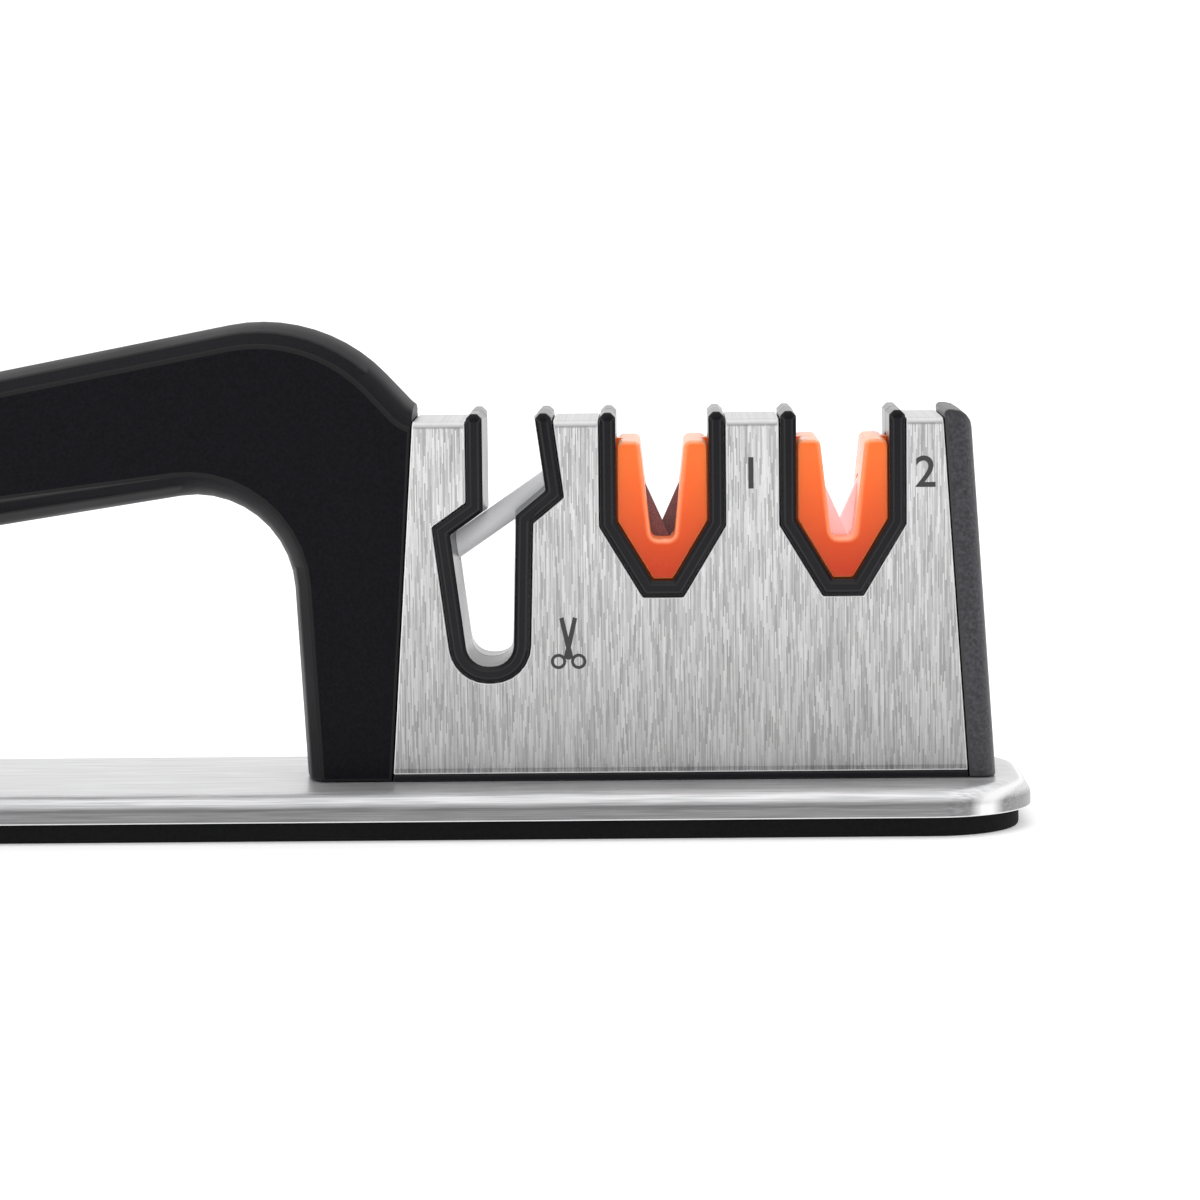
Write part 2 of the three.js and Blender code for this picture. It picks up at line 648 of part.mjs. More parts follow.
// Near half of a guide, with its rounded front edges, its flange and the seat of its plate
function guideHalf(x) {
  const outline = guideOutline(x, -FIT);
  const [side, top, notch] = [GUIDE_SIDE_EDGE, GUIDE_TOP_EDGE, NOTCH_EDGE];
  const roundings = [side, side, side, side, side, top, notch, notch, notch, top];
  const edge = Array.from({ length: EDGE_STEPS + 1 }, (_, step) => {
    const angle = (1 - step / EDGE_STEPS) * Math.PI / 2;
    return {
      y: GUIDE_EDGE_DEPTH * (1 - Math.sin(angle)) - GUIDE_FRONT,
      corners: moved(outline, roundings.map((rounding) => rounding * (1 - Math.cos(angle)))),
    };
  });
  const body = loft([...edge, { y: -PARTING, corners: outline }]);
  const flange = prism(guideOutline(x, FLANGE_REACH), -FLANGE_DEPTH, -PARTING);
  const seat = placePlate(new THREE.Object3D(), x, -1);
  const plateSeat = plateForm(TURNED_FIT).applyMatrix4(seat.matrix);
  return solidOf(body).add(solidOf(flange)).subtract(solidOf(plateSeat));
}

// Handle

// Side outline of the whole handle, with the grip's underside flatter by a twist. It runs past the base and
// the head, where it is trimmed
function handleOutline(twist = 0) {
  const below = DECK - REACH / 4;
  const frontFoot = { x: HEAD_LEFT - POST_FOOT, z: DECK };
  const innerFront = {
    x: frontFoot.x - UNDERSIDE_HEIGHT * tangent(POST_FLARE),
    z: DECK + UNDERSIDE_HEIGHT,
  };
  const crest = { x: HEAD_LEFT - CREST_LEFT, z: DECK + CREST_HEIGHT };
  const tip = { x: HEAD_LEFT, z: RIM_TOP + TIP_RISE };
  const rearFoot = { x: -BASE_LENGTH / 2 + REAR_MARGIN, z: DECK };
  const rearInner = { x: rearFoot.x + REAR_FOOT, z: DECK };
  const dropEnd = meeting(crest, -GRIP_DROP, tip, 0);
  const rearTop = meeting(crest, GRIP_SLOPE, rearFoot, 90 - REAR_LEAN);
  const innerRear = meeting(innerFront, UNDERSIDE_SLOPE - twist, rearInner, 90 + REAR_INNER_LEAN);
  const lean = (foot, angle) => foot.x + (below - DECK) * tangent(angle);
  return [
    corner(lean(rearFoot, REAR_LEAN), below),
    corner(lean(rearInner, -REAR_INNER_LEAN), below),
    corner(innerRear.x, innerRear.z, REAR_INNER_CORNER, BROAD_ARC_STEPS),
    corner(innerFront.x, innerFront.z, UNDERSIDE_CORNER, BROAD_ARC_STEPS),
    corner(lean(frontFoot, -POST_FLARE), below),
    corner(HEAD_LEFT + REACH, below),
    corner(HEAD_LEFT + REACH, tip.z),
    corner(dropEnd.x, dropEnd.z, TIP_CORNER),
    corner(crest.x, crest.z, CREST_RADIUS, BROAD_ARC_STEPS),
    corner(rearTop.x, rearTop.z, REAR_CORNER, BROAD_ARC_STEPS),
  ];
}

// Handle outline at a distance from the middle plane, taken in by a wall: crowned, then chamfered to the side
function handleSection(distance, wall) {
  const crownWidth = HALF_HEAD - SIDE_CHAMFER_DEPTH;
  const crown = Math.min(Math.max(distance, 0) / crownWidth, 1) ** 2;
  const chamfer = Math.max(distance - crownWidth, 0) / SIDE_CHAMFER_DEPTH;
  const top = wall + TOP_CROWN * crown + TOP_CHAMFER * chamfer;
  const under = wall + UNDER_CROWN * crown + UNDER_CHAMFER * chamfer;
  const post = wall + UNDER_CROWN * crown + POST_CHAMFER * chamfer;
  const twist = THREE.MathUtils.lerp(UNDERSIDE_TWIST * crown, SIDE_TWIST, chamfer);
  // The finger gap's three edges come first, then the tip, drop, grip and rear edges
  return moved(handleOutline(twist), [0, post, under, post, 0, 0, top, top, top, top]);
}

// Handle form between two distances from the middle plane, taken in by a wall
function handleForm(wall, outer, inner) {
  const crownWidth = HALF_HEAD - SIDE_CHAMFER_DEPTH;
  const crownDistances = Array.from(
    { length: CROWN_STEPS + 1 },
    (_, step) => inner + (crownWidth - inner) * (1 - step / CROWN_STEPS),
  );
  return solidOf(loft([outer, ...crownDistances].map((distance) => (
    { y: -distance, corners: handleSection(distance, wall) }
  ))));
}

// Space left of the head and above the base, kept clear of both by a distance
const handleRoom = (foot, side) => solidOf(prism([
  corner(-BASE_LENGTH, DECK + foot),
  corner(leftLine(DECK + foot) - side, DECK + foot),
  corner(leftLine(RIM_TOP + REACH) - side, RIM_TOP + REACH),
  corner(-BASE_LENGTH, RIM_TOP + REACH),
], -REACH, REACH));

// Pegs that line up the two halves, along the middle of the grip
function pegPlaces() {
  const outline = handleOutline();
  const [innerRear, innerFront] = [outline[2], outline[3]];
  const [crest, rearTop] = [outline[8], outline[9]];
  return Array.from({ length: PEG_COUNT }, (_, i) => {
    const share = (i + 0.5) / PEG_COUNT;
    return {
      x: THREE.MathUtils.lerp(innerRear.x, innerFront.x, share),
      z: THREE.MathUtils.lerp(innerRear.z + rearTop.z, innerFront.z + crest.z, share) / 2,
    };
  });
}

function post(radius, from, to, { x, z }) {
  const geometry = new THREE.CylinderGeometry(radius, radius, to - from, SCREW_SIDES);
  return solidOf(geometry.translate(x, (from + to) / 2, z));
}

// Near half of the handle: a shell with solid feet and a boss for each peg
function handleShell() {
  const cavity = handleForm(HANDLE_WALL, HALF_HEAD - HANDLE_WALL, -OVERLAP)
    .intersect(handleRoom(FOOT_SOLID, HANDLE_WALL + FIT));
  const shell = handleForm(0, HALF_HEAD, PARTING)
    .intersect(handleRoom(SEAT, FIT / 2))
    .subtract(cavity);
  const bossed = pegPlaces().reduce(
    (rest, place) => rest.add(post(PEG_BOSS, HANDLE_WALL / 2 - HALF_HEAD, -PARTING, place)),
    shell,
  );
  return withScrewHoles(bossed);
}

const withPegs = (solid) => pegPlaces().reduce(
  (rest, place) => rest.add(post(PEG_RADIUS, -OVERLAP - PARTING, PEG_LENGTH, place)),
  solid,
);

const withPegHoles = (solid) => pegPlaces().reduce(
  (rest, place) => rest.subtract(post(PEG_RADIUS + FIT, -OVERLAP, PEG_LENGTH + FIT, place)),
  solid,
);

// Finishes, and the assembly

const finish = (color, roughness, metalness = 0) => (
  new THREE.MeshStandardMaterial({ color, roughness, metalness })
);
const blackPlastic = () => finish(0x1b1b1d, 0.55);
const brushedSteel = () => finish(0xb8babc, 0.35, 1);
const orangePlastic = () => finish(0xf2621f, 0.25);

const sharpener = new THREE.Group();

function addGeometry(name, geometry, material) {
  const mesh = new THREE.Mesh(geometry, material);
  mesh.name = name;
  sharpener.add(mesh);
  return mesh;
}

const addPiece = (name, solid, material) => addGeometry(name, geometryOf(solid), material);

addPiece('rubber_pad', rubberPad(), finish(0x161616, 0.9));
addPiece('base_core', baseCore(), blackPlastic());
addPiece('base_plate', basePlate(), brushedSteel());

const nearHandle = handleShell();
const farHandle = solidOf(mirrored(geometryOf(nearHandle)));
addPiece('handle_front_shell', withPegs(nearHandle), blackPlastic());
addPiece('handle_rear_shell', withPegHoles(farHandle), blackPlastic());

const nearHead = geometryOf(headShell());
addGeometry('head_front_shell', nearHead, blackPlastic());
addGeometry('head_rear_shell', mirrored(nearHead), blackPlastic());
addPiece('head_cover', headCover(), brushedSteel());
addPiece('end_cap', endCap(), blackPlastic());
addPiece('scissor_rod', scissorRod(), finish(0xd2d2d4, 0.5));

for (const [grade, x, color] of [['coarse', COARSE_X, 0x4a2426], ['fine', FINE_X, 0xf1d9d4]]) {
  const nearGuide = geometryOf(guideHalf(x));
  // The far half is the near one turned about the slot's own upright line, so its plate leans the other way
  const farGuide = nearGuide.clone().translate(-x, 0, 0).rotateZ(Math.PI).translate(x, 0, 0);
  addGeometry(`${grade}_guide_front`, nearGuide, orangePlastic());
  addGeometry(`${grade}_guide_rear`, farGuide, orangePlastic());
  for (const [name, side] of [['left', -1], ['right', 1]]) {
    const plate = addGeometry(`${grade}_plate_${name}`, plateForm(0), finish(color, 0.6));
    placePlate(plate, x, side);
  }
}

screwPlaces.forEach(({ x, y }, i) => {
  const screw = addPiece(`base_screw_${i + 1}`, solidOf(screwForm(0)), finish(0x8d9093, 0.4, 1));
  screw.position.set(x, y, SCREW_FOOT);
});

export default sharpener;
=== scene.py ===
# The knife sharpener's looks: softened pieces, finishes, printed marks, camera and studio light.
import json
import math

import bpy
from mathutils import Matrix, Vector

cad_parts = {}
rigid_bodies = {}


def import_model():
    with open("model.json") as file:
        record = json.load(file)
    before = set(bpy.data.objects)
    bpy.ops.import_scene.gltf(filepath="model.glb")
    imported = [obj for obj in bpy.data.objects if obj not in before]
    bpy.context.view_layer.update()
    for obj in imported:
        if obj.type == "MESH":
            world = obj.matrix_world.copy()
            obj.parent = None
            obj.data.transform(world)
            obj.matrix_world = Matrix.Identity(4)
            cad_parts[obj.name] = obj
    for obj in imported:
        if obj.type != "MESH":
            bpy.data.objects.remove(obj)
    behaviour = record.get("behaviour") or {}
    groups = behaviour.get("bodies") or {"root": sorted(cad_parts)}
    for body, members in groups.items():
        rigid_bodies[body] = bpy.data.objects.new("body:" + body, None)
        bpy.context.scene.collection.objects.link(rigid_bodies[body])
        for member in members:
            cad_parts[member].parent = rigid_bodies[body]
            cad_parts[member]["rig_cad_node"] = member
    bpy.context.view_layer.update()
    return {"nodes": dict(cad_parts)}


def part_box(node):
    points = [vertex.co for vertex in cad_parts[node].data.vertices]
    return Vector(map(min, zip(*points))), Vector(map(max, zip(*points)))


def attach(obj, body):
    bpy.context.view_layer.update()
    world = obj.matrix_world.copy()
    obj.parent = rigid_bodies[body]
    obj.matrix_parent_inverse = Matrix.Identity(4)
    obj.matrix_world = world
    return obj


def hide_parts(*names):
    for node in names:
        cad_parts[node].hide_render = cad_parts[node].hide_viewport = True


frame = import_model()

MM = 0.001

# Photograph: places in its 1200 pixel frame, and where the camera stood, in metres
IMAGE_WIDTH = 1200
IMAGE_CENTRE = 600
FOCAL_PIXELS = 4121
DEPTH_VANISHES = (658, 170)  # pixel where lines going straight back meet
RISE_TO_RIGHT = 0.0091  # slope of the level lines
SENSOR = 36  # width in millimetres
CAMERA_PLACE = (53.72 * MM, -690 * MM, 109.08 * MM)
CAMERA_RANGE = (0.01, 100)  # nearest and farthest that it sees

# Studio: white all round, but for a dimmer room in front of the object, low down
SKY_LIGHT = 1.1
ROOM_SIDE = (0.3, -0.89, -0.34)
ROOM_LIGHT = 0.25
ROOM_EDGE = (0.35, 0.85)  # where the room starts and is full on the way to its side
FLOOR_SIZE = 20
FLOOR_GLOW = 0.25
FLOOR_CLOUD = 0.01  # frequency per millimetre of its uneven gloss
FLOOR_ROUGHNESS = (0.75, 0.85)
TOP_LIGHT_PLACE = (0.1, 0.1, 1.2)
TOP_LIGHT_AIM = (0.03, 0, 0)
TOP_LIGHT_SIZE = (1.6, 1.2)
TOP_LIGHT_POWER = 2

# Base, in metres
BASE_CORNER = 17 * MM
BASE_ROLL_WIDTH = 3.4 * MM
BASE_ROLL_DROP = 3.1 * MM
BASE_SHEET = 0.9 * MM
BASE_EDGE = 0.2 * MM
PAD_CORNER = 15 * MM
PAD_BEVEL = 0.5 * MM
PAD_EDGE = 0.15 * MM
CUT_EDGE = 60  # least turn in degrees of the edges of the tray and the pad that are rounded
LEVEL = 0.5  # least share of a level face's normal that points up or down

# Softened pieces, in metres and degrees
EDGE_MARK = "rounded_edge"  # attribute of the faces that an edge's rounding made
SAME = 1e-6  # nearness that counts as the same place
SEAM = 0.01 * MM  # nearness to the middle plane where two halves meet, or to a sheet's face
FLAT = 0.5  # turn up to which neighbouring faces of a node become one
HANDLE_GAP = 2 * MM  # left plain at the end of the handle, next to the steel
HEM_TUCK = 0.12 * MM  # depth of the crease above the hem
HEM_LINE = 0.35 * MM  # height of the dark side of the crease

# Marks on the front of the head: middles along X and Z, and heights, in metres
MARK_DEPTH = 0.02 * MM
NUMBER_HEIGHT = 5.2 * MM
NUMBER_BOLDNESS = 0.05 * MM
COARSE_MARK = (68.6 * MM, 59.2 * MM, NUMBER_HEIGHT)
FINE_MARK = (97.4 * MM, 59.2 * MM, NUMBER_HEIGHT)
SCISSORS_MARK = (38.15 * MM, 31.2 * MM, 8.7 * MM)

# Scissors figure, before it is sized
BLADE_REACH = 5.2 * MM
SHANK_REACH = 2.75 * MM
BLADE_WIDTH = 1.9 * MM
BLADE_TIP = 0.45  # share of the width left at the tip
SHANK_END = 0.5  # share of the width left at the ring
BLADE_TURN = 20  # degrees each blade leans
RING_RADIUS = 1.45 * MM
RING_HOLE = 0.6  # share of the ring's radius
RING_PLACE = (1.9 * MM, -3.2 * MM)

# Steel
# painted highlight for the steel's rounded edges
STEEL_EDGE_HIGHLIGHT = (0.95, 0.95, 0.95)
STEEL_FOLD = (0.58, 0.58, 0.58)
STEEL_CORNER_HIGHLIGHT = (0.9, 0.9, 0.9)  # painted highlight where the tray turns round its corners
CORNER_HIGHLIGHT_TURN = ((0.34, 0.46), (0.56, 0.68))  # how far a face looks along X as the painted highlight comes and goes
EDGE_METAL = 0.3  # cut edges scatter light more than a polished face
BAND_SHARE = 0.1  # share of the broad bands in the brushing
HAIR_SIZE = (0.2 * MM, 4.5 * MM)  # width and length of a hair of the head's brushing
HAIR_DEPTH = 0.003 * MM
HAIR_STAGGER = 0.618  # share of a length by which each hair is shifted against the next
HEAD_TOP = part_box("head_cover")[1].z

# Black plastic and abrasive
GLOSS_CLOUD = 0.06  # frequency per millimetre of the plastic's uneven gloss
UNEVEN_GLOSS = 0.05  # how far the plastic's roughness strays either way
UNEVEN_GRIT = 0.1  # how far the abrasive's roughness strays either way

# Orange plastic
ORANGE = (1.0, 0.19, 0.03)
# painted shade: the colour towards the foot
ORANGE_SHADED = (0.5, 0.012, 0.001)
# painted highlight on the rounded lips
ORANGE_LIP_HIGHLIGHT = (1.0, 0.4, 0.21)
ORANGE_SHADE_HEIGHTS = (43 * MM, 62 * MM)  # heights between which the painted shade fades out
# painted light given off, standing in for light that comes through
ORANGE_PAINTED_GLOW = 0.12
ORANGE_CLOUD = 0.15  # frequency per millimetre of its uneven colour and gloss
ORANGE_CLOUD_SHARE = 0.1
ORANGE_ROUGHNESS = (0.18, 0.28)
ORANGE_GRAIN = 2.5  # frequency per millimetre
LIP_HIGHLIGHT_TURN = (0.6, 0.98)  # how squarely a face looks front or back, from the painted highlight on the lips to the plain face


# Working with objects as by hand

def active():
    return bpy.context.view_layer.objects.active


def pick(piece):
    """Selects one object alone and makes it the active one."""
    bpy.ops.object.select_all(action="DESELECT")
    piece.select_set(True)
    bpy.context.view_layer.objects.active = piece


def select_edges(piece, wanted):
    """Selects in edit mode the edges whose two ends satisfy wanted(a, b)."""
    bpy.ops.mesh.select_mode(type="EDGE")
    bpy.ops.mesh.select_all(action="DESELECT")
    bpy.ops.object.mode_set(mode="OBJECT")
    places = [vertex.co for vertex in piece.data.vertices]
    for edge in piece.data.edges:
        edge.select = wanted(*(places[i] for i in edge.vertices))
    bpy.ops.object.mode_set(mode="EDIT")


def select_faces(piece, wanted):
    """Selects in edit mode the faces that satisfy wanted(centre, normal)."""
    bpy.ops.mesh.select_mode(type="FACE")
    bpy.ops.mesh.select_all(action="DESELECT")
    bpy.ops.object.mode_set(mode="OBJECT")
    for face in piece.data.polygons:
        face.select = wanted(face.center, face.normal)
    bpy.ops.object.mode_set(mode="EDIT")


def at_height(z):
    """A test for select_edges: both ends lie at one height."""
    return lambda a, b: abs(a.z - z) < SAME and abs(b.z - z) < SAME


def apply_modifier(piece, kind, **settings):
    pick(piece)
    modifier = piece.modifiers.new(kind.title(), kind)
    for name, value in settings.items():
        setattr(modifier, name, value)
    bpy.ops.object.modifier_apply(modifier=modifier.name)


def select_sharp(piece, angle, right_end):
    """Selects in edit mode the sharp edges left of an end, but for the seam in the middle."""
    pick(piece)
    bpy.ops.object.mode_set(mode="EDIT")
    bpy.ops.mesh.select_mode(type="EDGE")
    bpy.ops.mesh.select_all(action="DESELECT")
    bpy.ops.mesh.edges_select_sharp(sharpness=math.radians(angle))
    bpy.ops.object.mode_set(mode="OBJECT")
    for edge in piece.data.edges:
        ends = [piece.data.vertices[i].co for i in edge.vertices]
        off_seam = any(abs(end.y) > SEAM for end in ends)
        edge.select = edge.select and off_seam and all(end.x < right_end for end in ends)
    bpy.ops.object.mode_set(mode="EDIT")


def bevel_edges(piece, width, angle, right_end=math.inf):
    """Rounds every edge left of an end that turns by an angle, and marks the rounded faces."""
    mesh = piece.data
    mesh.materials.clear()
    mesh.materials.append(None)
    mesh.materials.append(None)
    mesh.polygons.foreach_set("material_index", [0] * len(mesh.polygons))
    select_sharp(piece, angle, right_end)
    bpy.ops.mesh.bevel(
        offset=width, segments=3, affect="EDGES", clamp_overlap=False, miter_outer="ARC", material=1,
    )
    bpy.ops.object.mode_set(mode="OBJECT")
    edges = mesh.attributes.new(EDGE_MARK, "FLOAT", "FACE")
    edges.data.foreach_set("value", [float(face.material_index) for face in mesh.polygons])
    mesh.polygons.foreach_set("material_index", [0] * len(mesh.polygons))


def smooth(piece, angle):
    """Shades the piece smooth up to an angle in degrees, with its large faces kept flat."""
    pick(piece)
    bpy.ops.object.shade_smooth_by_angle(angle=math.radians(angle))
    apply_modifier(piece, "WEIGHTED_NORMAL", keep_sharp=True)


def finish_piece(piece, name, material, node=None):
    """Names a piece, puts its finish on, and lets it stand for its node, if it has one."""
    piece.name = name
    piece.data.name = name
    piece.data.materials.clear()
    piece.data.materials.append(material)
    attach(piece, "root")
    if node:
        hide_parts(node)


def crease_hem(piece, node, hem):
    """Presses a crease in above the foot of a sheet's front and back."""
    low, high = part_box(node)
    crease = low.z + hem
    for level in (crease, crease + HEM_LINE):
        bpy.ops.mesh.select_all(action="SELECT")
        bpy.ops.mesh.bisect(plane_co=(0, 0, level), plane_no=(0, 0, 1))
        select_edges(piece, at_height(level))
        bpy.ops.mesh.mark_sharp()
    outside = high.y - SEAM
    select_edges(piece, lambda a, b: at_height(crease)(a, b) and min(abs(a.y), abs(b.y)) > outside)
    bpy.ops.transform.resize(value=(1, 1 - HEM_TUCK / high.y, 1), center_override=(0, 0, 0))


def softened(
    node, material, width=0, angle=28, smooth_angle=32, merge=0.002 * MM, hem=0,
    right_end=math.inf,
):
    """A copy of a node with merged faces and, where asked, rounded edges and a hem at its foot."""
    pick(frame["nodes"][node])
    bpy.ops.object.duplicate()
    piece = active()
    del piece["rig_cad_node"]
    bpy.ops.mesh.customdata_custom_splitnormals_clear()
    bpy.ops.object.mode_set(mode="EDIT")
    bpy.ops.mesh.select_all(action="SELECT")
    bpy.ops.mesh.remove_doubles(threshold=merge)
    bpy.ops.mesh.dissolve_limited(angle_limit=math.radians(FLAT))
    if hem:
        crease_hem(piece, node, hem)
    bpy.ops.object.mode_set(mode="OBJECT")
    if width:
        bevel_edges(piece, width, angle, right_end)
    smooth(piece, smooth_angle)
    finish_piece(piece, "soft_" + node, material, node)


# Patterns for finishes

def new_material(name, color, roughness, metallic=0.0, specular=0.5):
    material = bpy.data.materials.new(name)
    material.use_nodes = True
    shader = material.node_tree.nodes["Principled BSDF"]
    shader.inputs["Base Color"].default_value = (*color, 1)
    shader.inputs["Roughness"].default_value = roughness
    shader.inputs["Metallic"].default_value = metallic
    shader.inputs["Specular IOR Level"].default_value = specular
    return material, shader


def grey(level):
    return (level,) * 3


def coordinates(tree, kind):
    """The piece's own coordinates, or its own normals, split into X, Y and Z."""
    place = tree.nodes.new("ShaderNodeTexCoord")
    axes = tree.nodes.new("ShaderNodeSeparateXYZ")
    tree.links.new(place.outputs[kind], axes.inputs["Vector"])
    return axes.outputs


def noise(tree, per_mm, detail=3.0):
    """Noise on the piece's own coordinates, with its frequency along X, Y and Z."""
    place = tree.nodes.new("ShaderNodeTexCoord")
    mapping = tree.nodes.new("ShaderNodeMapping")
    mapping.inputs["Scale"].default_value = [frequency / MM for frequency in per_mm]
    texture = tree.nodes.new("ShaderNodeTexNoise")
    texture.inputs["Scale"].default_value = 1
    texture.inputs["Detail"].default_value = detail
    tree.links.new(place.outputs["Object"], mapping.inputs["Vector"])
    tree.links.new(mapping.outputs["Vector"], texture.inputs["Vector"])
    return texture.outputs["Fac"]


def even_noise(tree, per_mm, detail=3.0):
    """Noise with one frequency all ways."""
    return noise(tree, (per_mm,) * 3, detail)


def worked(tree, operation, *values):
    """The result of a sum on patterns and plain numbers."""
    node = tree.nodes.new("ShaderNodeMath")
    node.operation = operation
    for value, socket in zip(values, node.inputs):
        if isinstance(value, float):
            socket.default_value = value
        else:
            tree.links.new(value, socket)
    return node.outputs["Value"]


def hairlines(tree, width, length):
    """Upright hairs side by side, each cut into lengths at heights of its own."""
    axes = coordinates(tree, "Object")
    column = worked(tree, "FLOOR", worked(tree, "DIVIDE", axes["X"], width))
    along = worked(tree, "DIVIDE", axes["Z"], length)
    staggered = worked(tree, "MULTIPLY_ADD", column, HAIR_STAGGER, along)
    cell = tree.nodes.new("ShaderNodeCombineXYZ")
    tree.links.new(column, cell.inputs["X"])
    tree.links.new(worked(tree, "FLOOR", staggered), cell.inputs["Z"])
    texture = tree.nodes.new("ShaderNodeTexWhiteNoise")
    tree.links.new(cell.outputs["Vector"], texture.inputs["Vector"])
    return texture.outputs["Value"]


def height_pattern(tree):
    """How high each point lies."""
    return coordinates(tree, "Object")["Z"]


def facing(tree, axis):
    """How squarely each face looks along an axis, either way."""
    return worked(tree, "ABSOLUTE", coordinates(tree, "Normal")[axis])


def edge_mark(tree):
    """One on the faces of rounded edges and nought elsewhere."""
    attribute = tree.nodes.new("ShaderNodeAttribute")
    attribute.attribute_name = EDGE_MARK
    return attribute.outputs["Fac"]


def spread(tree, factor, low, high, start=0.3, end=0.7):
    """Maps a pattern, by default the middle range of a noise, onto low to high."""
    node = tree.nodes.new("ShaderNodeMapRange")
    node.inputs["From Min"].default_value = start
    node.inputs["From Max"].default_value = end
    node.inputs["To Min"].default_value = low
    node.inputs["To Max"].default_value = high
    tree.links.new(factor, node.inputs["Value"])
    return node.outputs["Result"]


def between(tree, factor, low, high, start=0.3, end=0.7):
    """Runs between two colours over a pattern, by default the middle range of a noise."""
    ramp = tree.nodes.new("ShaderNodeValToRGB")
    ramp.color_ramp.elements[0].position = start
    ramp.color_ramp.elements[0].color = (*low, 1)
    ramp.color_ramp.elements[1].position = end
    ramp.color_ramp.elements[1].color = (*high, 1)
    tree.links.new(factor, ramp.inputs["Fac"])
    return ramp.outputs["Color"]


def added(tree, first, second, share):
    """The first pattern with a share of the second mixed in."""
    node = tree.nodes.new("ShaderNodeMix")
    node.inputs["Factor"].default_value = share
    tree.links.new(first, node.inputs["A"])
    tree.links.new(second, node.inputs["B"])
    return node.outputs["Result"]


def blended(tree, factor, plain, other):
    """A colour that turns to another as a factor rises."""
    node = tree.nodes.new("ShaderNodeMix")
    node.data_type = "RGBA"
    colors = {socket.name: socket for socket in node.inputs if socket.type == "RGBA"}
    colors["B"].default_value = (*other, 1)
    tree.links.new(plain, colors["A"])
    tree.links.new(factor, node.inputs["Factor"])
    return [socket for socket in node.outputs if socket.type == "RGBA"][0]


def painted_shade_below(tree, color, low, high, share):
    """Painted shade: the colour darkened to a share of itself below a height, clear above another.
    """
    node = tree.nodes.new("ShaderNodeVectorMath")
    node.operation = "SCALE"
    tree.links.new(color, node.inputs[0])
    tree.links.new(spread(tree, height_pattern(tree), share, 1, low, high), node.inputs["Scale"])
    return node.outputs["Vector"]


def bump(tree, shader, relief, depth, strength):
    node = tree.nodes.new("ShaderNodeBump")
    node.inputs["Strength"].default_value = strength
    node.inputs["Distance"].default_value = depth
    tree.links.new(relief, node.inputs["Height"])
    tree.links.new(node.outputs["Normal"], shader.inputs["Normal"])


# Finishes

def brushed_steel(
    name, bands, dark, light, smoothest, roughest, fine=None, hair=None, reach=(0.36, 0.64),
    metal=1, foot_shade=None, fold=None, corners=None,
):
    """Steel with streaks along the brushing, broad, faint bands and a painted highlight on its
    rounded edges.

    Where asked, it has painted shade towards the foot, is plain over a fold, or has a painted
    highlight at turning corners.
    """
    material, shader = new_material(name, grey(0.6), roughness=0.3, metallic=1.0)
    tree = material.node_tree
    hairs = hairlines(tree, *hair) if hair else noise(tree, fine, detail=2)
    mixed = added(tree, hairs, noise(tree, bands, detail=2), BAND_SHARE)
    color = between(tree, mixed, dark, light, *reach)
    # painted shade, darker towards the foot
    if foot_shade:
        color = painted_shade_below(tree, color, *foot_shade)
    if fold:
        color = blended(tree, spread(tree, height_pattern(tree), 0, 1, *fold), color, STEEL_FOLD)
    # painted highlight on faces turned partly sideways, at the tray's corners
    if corners:
        turned = facing(tree, "X")
        rise = spread(tree, turned, 0, 1, *corners[0])
        fall = spread(tree, turned, 1, 0, *corners[1])
        color = blended(tree, worked(tree, "MULTIPLY", rise, fall), color, STEEL_CORNER_HIGHLIGHT)
    # painted highlight: the faces of the rounded edges turn to a near-white grey
    tree.links.new(blended(tree, edge_mark(tree), color, STEEL_EDGE_HIGHLIGHT), shader.inputs["Base Color"])
    tree.links.new(spread(tree, edge_mark(tree), metal, EDGE_METAL, 0, 1), shader.inputs["Metallic"])
    tree.links.new(spread(tree, mixed, smoothest, roughest), shader.inputs["Roughness"])
    bump(tree, shader, hairs, HAIR_DEPTH, strength=0.5)
    return material


def moulded_plastic(name, color, roughness, grain, depth, specular, edge, speckle=1.5):
    """Plastic with a fine moulded grain, slightly uneven gloss and a painted highlight on its
    rounded edges.
    """
    material, shader = new_material(name, color, roughness, specular=specular)
    tree = material.node_tree
    pits = even_noise(tree, grain, detail=2)
    cloud = even_noise(tree, GLOSS_CLOUD)
    gloss = spread(tree, cloud, roughness - UNEVEN_GLOSS, roughness + UNEVEN_GLOSS)
    tree.links.new(gloss, shader.inputs["Roughness"])
    lighter = [channel * speckle for channel in color]
    grained = between(tree, pits, color, lighter)
    # painted highlight: the faces of the rounded edges take the pale grey given as edge
    tree.links.new(blended(tree, edge_mark(tree), grained, grey(edge)), shader.inputs["Base Color"])
    bump(tree, shader, pits, depth, strength=0.5)
    return material


